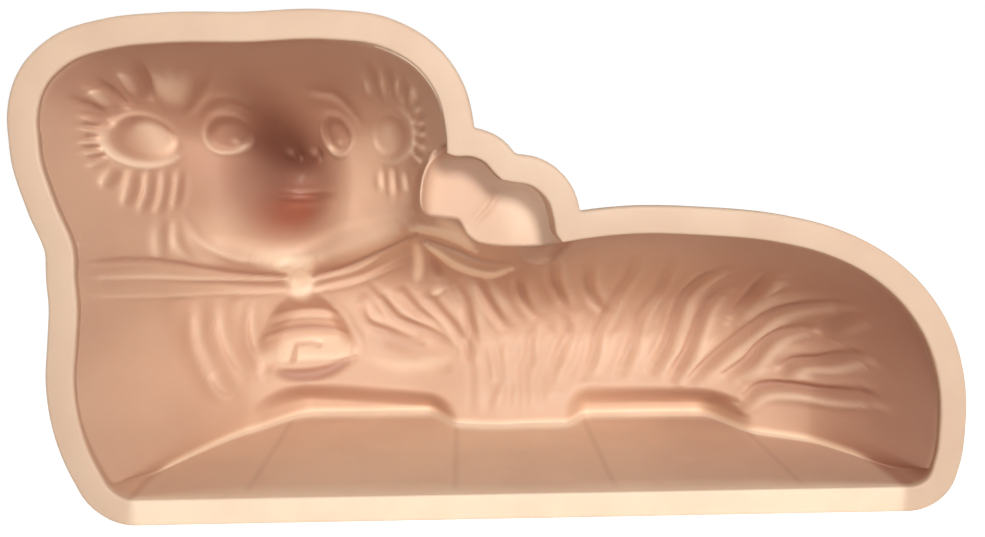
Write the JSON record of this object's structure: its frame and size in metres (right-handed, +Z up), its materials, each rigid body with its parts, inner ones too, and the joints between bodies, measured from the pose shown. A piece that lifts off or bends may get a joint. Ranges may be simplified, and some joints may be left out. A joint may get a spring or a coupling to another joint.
{
  "type": "baking mould",
  "caption": "Half mould in soft silicone for a lying lamb cake, open at a flat rim, with a hollow for head, bow, bell and legs.",
  "frame": {"origin": "centre of the footprint, at the height of the surface that the mould stands on", "axes": "+X along the lamb from its head to its tail, +Y into the mould away from the open rim, +Z up"},
  "size_m": [0.3, 0.0951, 0.1604],
  "materials": {
    "silicone": "satin, smooth moulded silicone",
    "steel": "bright drawn wire"
  },
  "bodies": {
    "root": {"silicone_shell": "silicone", "rim_wire": "steel", "wire_sleeve": "steel"}
  },
  "joints": []
}
